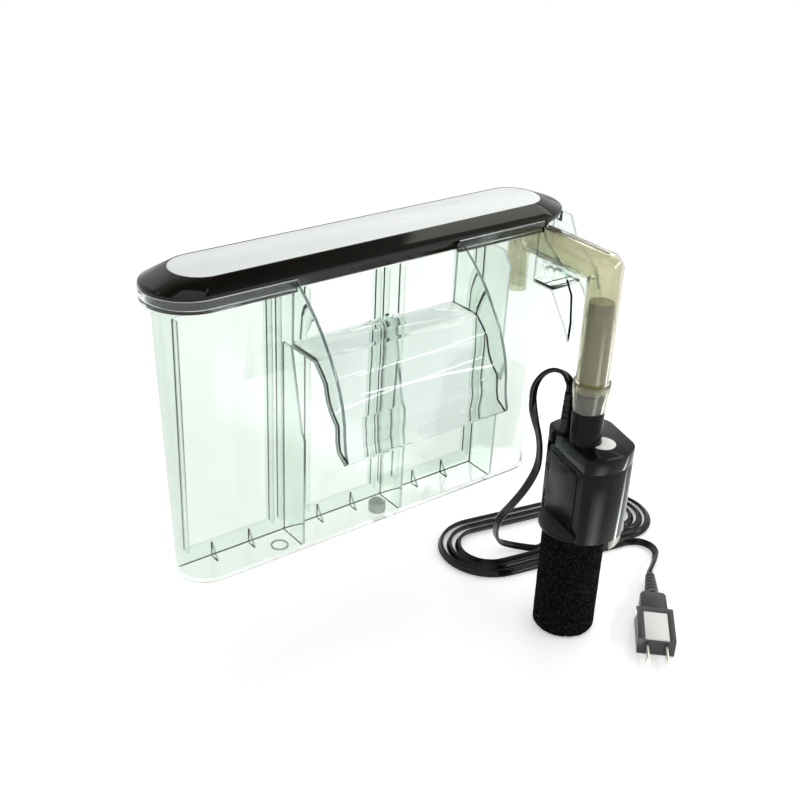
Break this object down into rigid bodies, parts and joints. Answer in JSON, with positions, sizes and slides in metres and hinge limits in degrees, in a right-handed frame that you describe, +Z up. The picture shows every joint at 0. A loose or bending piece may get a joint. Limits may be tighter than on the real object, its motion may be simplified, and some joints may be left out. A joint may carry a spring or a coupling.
{
  "type": "hang on back filter",
  "caption": "Clear-cased hang-on-back aquarium filter with lift-off lid, spillway, telescoping intake tube and submersible pump.",
  "frame": {"origin": "roof of the slot that hangs on the tank's rim (underside of the spillway ledge), at the middle of the case's length", "axes": "+X along the case towards the intake tube, +Y away from the tank, +Z up"},
  "size_m": [0.4177, 0.2106, 0.2863],
  "materials": {
    "clear_plastic": "clear moulded plastic",
    "smoke_tube": "translucent smoky plastic",
    "lid_black": "glossy",
    "lid_inset": "glossy",
    "tan_tube": "satin",
    "seal_rubber": "matte",
    "pump_black": "high gloss",
    "plate_film": "satin film",
    "white_film": "satin film",
    "cord_rubber": "satin",
    "core_steel": "laminated",
    "coil_copper": "enamelled wire",
    "ceramic": "polished ceramic",
    "magnet": "sintered",
    "impeller_white": "satin",
    "grey_plastic": "translucent",
    "foam": "open-cell coarse foam",
    "cord_pvc": "satin",
    "plug_grey": "satin",
    "blade_metal": "polished"
  },
  "bodies": {
    "case": {"case_shell": "clear_plastic", "case_rim": "clear_plastic", "cartridge_frame": "clear_plastic", "cartridge_rails": "clear_plastic", "divider_left": "clear_plastic", "divider_middle": "clear_plastic", "divider_right": "clear_plastic", "sill_gussets": "clear_plastic", "floor_boss": "clear_plastic", "spillway_ramp": "clear_plastic", "spillway_left_cheek": "clear_plastic", "spillway_right_cheek": "clear_plastic", "intake_bridge": "clear_plastic", "hook_left_cheek": "clear_plastic", "hook_right_cheek": "clear_plastic", "hook_plate": "clear_plastic", "tube_saddle": "clear_plastic", "intake_tube": "smoke_tube", "cord_riser": "cord_pvc", "cord_coil": "cord_pvc", "cord_lead": "cord_pvc", "plug_strain_relief": "plug_grey", "plug_body": "plug_grey", "plug_head": "plug_grey", "plug_label": "white_film", "plug_blades": "blade_metal"},
    "lid": {"lid_cover": "lid_black", "lid_panel": "lid_inset"},
    "pump": {"extension_tube": "tan_tube", "tube_seal": "seal_rubber", "pump_cap": "pump_black", "pump_body": "pump_black", "rating_plate": "plate_film", "cap_disc": "white_film", "cord_boot": "cord_rubber", "stator_core": "core_steel", "stator_coil": "coil_copper", "impeller_shaft": "ceramic", "shaft_seat": "seal_rubber", "volute_cover": "pump_black", "strainer": "pump_black", "sponge_collar": "grey_plastic"},
    "impeller": {"rotor_magnet": "magnet", "impeller_wheel": "impeller_white"},
    "sponge": {"sponge": "foam"}
  },
  "joints": [
    {"name": "lid_lift", "type": "slide", "parent": "case", "child": "lid", "axis": [0, 0, 1], "range_m": [0, 0.05]},
    {"name": "pump_extend", "type": "slide", "parent": "case", "child": "pump", "axis": [0, 0, -1], "range_m": [0, 0.03]},
    {"name": "impeller_spin", "type": "hinge", "parent": "pump", "child": "impeller", "pos_m": [0.1184, -0.036, -0.14], "axis": [0, 0, 1], "continuous": true},
    {"name": "sponge_pull", "type": "slide", "parent": "pump", "child": "sponge", "axis": [0, 0, -1], "range_m": [0, 0.06]}
  ]
}
